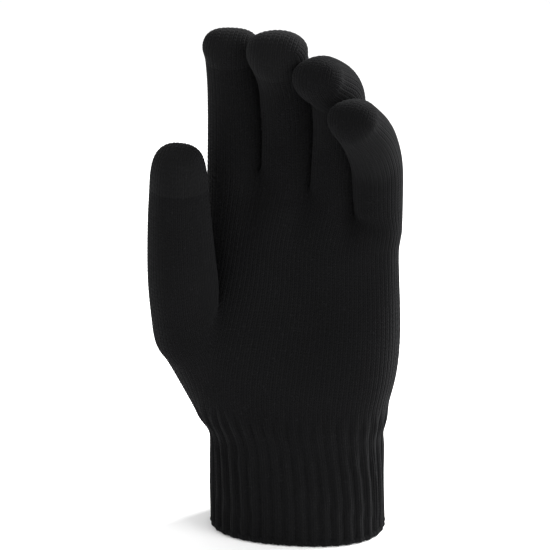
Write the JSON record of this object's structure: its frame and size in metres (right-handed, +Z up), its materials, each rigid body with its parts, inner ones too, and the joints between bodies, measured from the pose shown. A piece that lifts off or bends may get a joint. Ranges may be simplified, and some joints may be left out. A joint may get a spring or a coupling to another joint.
{
  "type": "touchscreen glove",
  "caption": "Black knitted left-hand glove with a long ribbed cuff, bending finger and thumb stalls, and touch-sensitive yarn knitted into the thumb tip and fingertips.",
  "frame": {"origin": "centre of the cuff's opening, in the plane of the hem", "axes": "+Z up from the cuff towards the fingertips, -Y out of the palm side, +X towards the little finger, -X towards the thumb"},
  "size_m": [0.1174, 0.0753, 0.2438],
  "materials": {
    "knitted_yarn": "plain machine knit, matt, slightly fuzzy",
    "ribbed_cuff": "one-by-one rib knit, matt",
    "touch_yarn": "plain knit with silver-coated filament, slightly shiny",
    "hem_yarn": "overlocked edge",
    "elastic_thread": "covered rubber thread, matt"
  },
  "bodies": {
    "cuff": {"cuff": "ribbed_cuff", "cuff_hem": "hem_yarn", "elastic_thread_1": "elastic_thread", "elastic_thread_2": "elastic_thread", "elastic_thread_3": "elastic_thread"},
    "palm": {"palm": "knitted_yarn"},
    "knuckles": {"knuckle_band": "knitted_yarn"},
    "index_proximal": {"index_proximal": "knitted_yarn"},
    "index_middle": {"index_middle": "knitted_yarn"},
    "index_distal": {"index_distal": "knitted_yarn", "index_touch_tip": "touch_yarn"},
    "middle_proximal": {"middle_proximal": "knitted_yarn"},
    "middle_middle": {"middle_middle": "knitted_yarn"},
    "middle_distal": {"middle_distal": "knitted_yarn", "middle_touch_tip": "touch_yarn"},
    "ring_proximal": {"ring_proximal": "knitted_yarn"},
    "ring_middle": {"ring_middle": "knitted_yarn"},
    "ring_distal": {"ring_distal": "knitted_yarn"},
    "little_proximal": {"little_proximal": "knitted_yarn"},
    "little_middle": {"little_middle": "knitted_yarn"},
    "little_distal": {"little_distal": "knitted_yarn"},
    "thumb_base": {"thumb_base": "knitted_yarn"},
    "thumb_proximal": {"thumb_proximal": "knitted_yarn"},
    "thumb_distal": {"thumb_distal": "knitted_yarn", "thumb_touch_tip": "touch_yarn"}
  },
  "joints": [
    {"name": "wrist_bend", "type": "hinge", "parent": "cuff", "child": "palm", "pos_m": [0, 0, 0.047], "axis": [1, 0, 0], "range_deg": [-35, 45]},
    {"name": "palm_fold", "type": "hinge", "parent": "palm", "child": "knuckles", "pos_m": [0, 0, 0.142], "axis": [1, 0, 0], "range_deg": [-10, 25]},
    {"name": "index_base", "type": "hinge", "parent": "knuckles", "child": "index_proximal", "pos_m": [-0.0281, 0, 0.167], "axis": [1, 0, 0], "range_deg": [-10, 45]},
    {"name": "index_knuckle", "type": "hinge", "parent": "index_proximal", "child": "index_middle", "pos_m": [-0.02742, -0.00195, 0.19492], "axis": [1, 0, 0], "range_deg": [-4, 84]},
    {"name": "index_end", "type": "hinge", "parent": "index_middle", "child": "index_distal", "pos_m": [-0.02685, -0.00515, 0.21769], "axis": [1, 0, 0], "range_deg": [-2.4, 50.4]},
    {"name": "middle_base", "type": "hinge", "parent": "knuckles", "child": "middle_proximal", "pos_m": [-0.0043, 0, 0.169], "axis": [0.9976, -0.0698, 0], "range_deg": [-10, 45]},
    {"name": "middle_knuckle", "type": "hinge", "parent": "middle_proximal", "child": "middle_middle", "pos_m": [-0.00295, -0.00323, 0.19879], "axis": [0.9976, -0.0698, 0], "range_deg": [-10, 78]},
    {"name": "middle_end", "type": "hinge", "parent": "middle_middle", "child": "middle_distal", "pos_m": [-0.00216, -0.00991, 0.22183], "axis": [0.9976, -0.0698, 0], "range_deg": [-5, 39]},
    {"name": "ring_base", "type": "hinge", "parent": "knuckles", "child": "ring_proximal", "pos_m": [0.0183, 0, 0.167], "axis": [0.9877, -0.1564, 0], "range_deg": [-10, 45]},
    {"name": "ring_knuckle", "type": "hinge", "parent": "ring_proximal", "child": "ring_middle", "pos_m": [0.02126, -0.00466, 0.19649], "axis": [0.9877, -0.1564, 0], "range_deg": [-14, 74]},
    {"name": "ring_end", "type": "hinge", "parent": "ring_middle", "child": "ring_distal", "pos_m": [0.02276, -0.01394, 0.21857], "axis": [0.9877, -0.1564, 0], "range_deg": [-4.9, 25.9]},
    {"name": "little_base", "type": "hinge", "parent": "knuckles", "child": "little_proximal", "pos_m": [0.0398, 0, 0.158], "axis": [0.9781, -0.2079, 0], "range_deg": [-10, 45]},
    {"name": "little_knuckle", "type": "hinge", "parent": "little_proximal", "child": "little_middle", "pos_m": [0.04231, -0.00927, 0.1843], "axis": [0.9781, -0.2079, 0], "range_deg": [-26, 62]},
    {"name": "little_end", "type": "hinge", "parent": "little_middle", "child": "little_distal", "pos_m": [0.04216, -0.02471, 0.19997], "axis": [0.9781, -0.2079, 0], "range_deg": [-11.7, 27.9]},
    {"name": "thumb_base", "type": "hinge", "parent": "palm", "child": "thumb_base", "pos_m": [-0.0475, -0.0195, 0.098], "axis": [0.28, -0.96, 0], "range_deg": [-5, 35]},
    {"name": "thumb_knuckle", "type": "hinge", "parent": "thumb_base", "child": "thumb_proximal", "pos_m": [-0.049, -0.026, 0.127], "axis": [-0.6606, -0.7507, 0], "range_deg": [-50, 5]},
    {"name": "thumb_end", "type": "hinge", "parent": "thumb_proximal", "child": "thumb_distal", "pos_m": [-0.0486, -0.0305, 0.16], "axis": [-0.6606, -0.7507, 0], "range_deg": [-65, 5]}
  ],
  "couplings": [
    {"joint": "index_end", "follows": "index_knuckle", "ratio": 0.6},
    {"joint": "middle_end", "follows": "middle_knuckle", "ratio": 0.5},
    {"joint": "ring_end", "follows": "ring_knuckle", "ratio": 0.35},
    {"joint": "little_end", "follows": "little_knuckle", "ratio": 0.45}
  ]
}
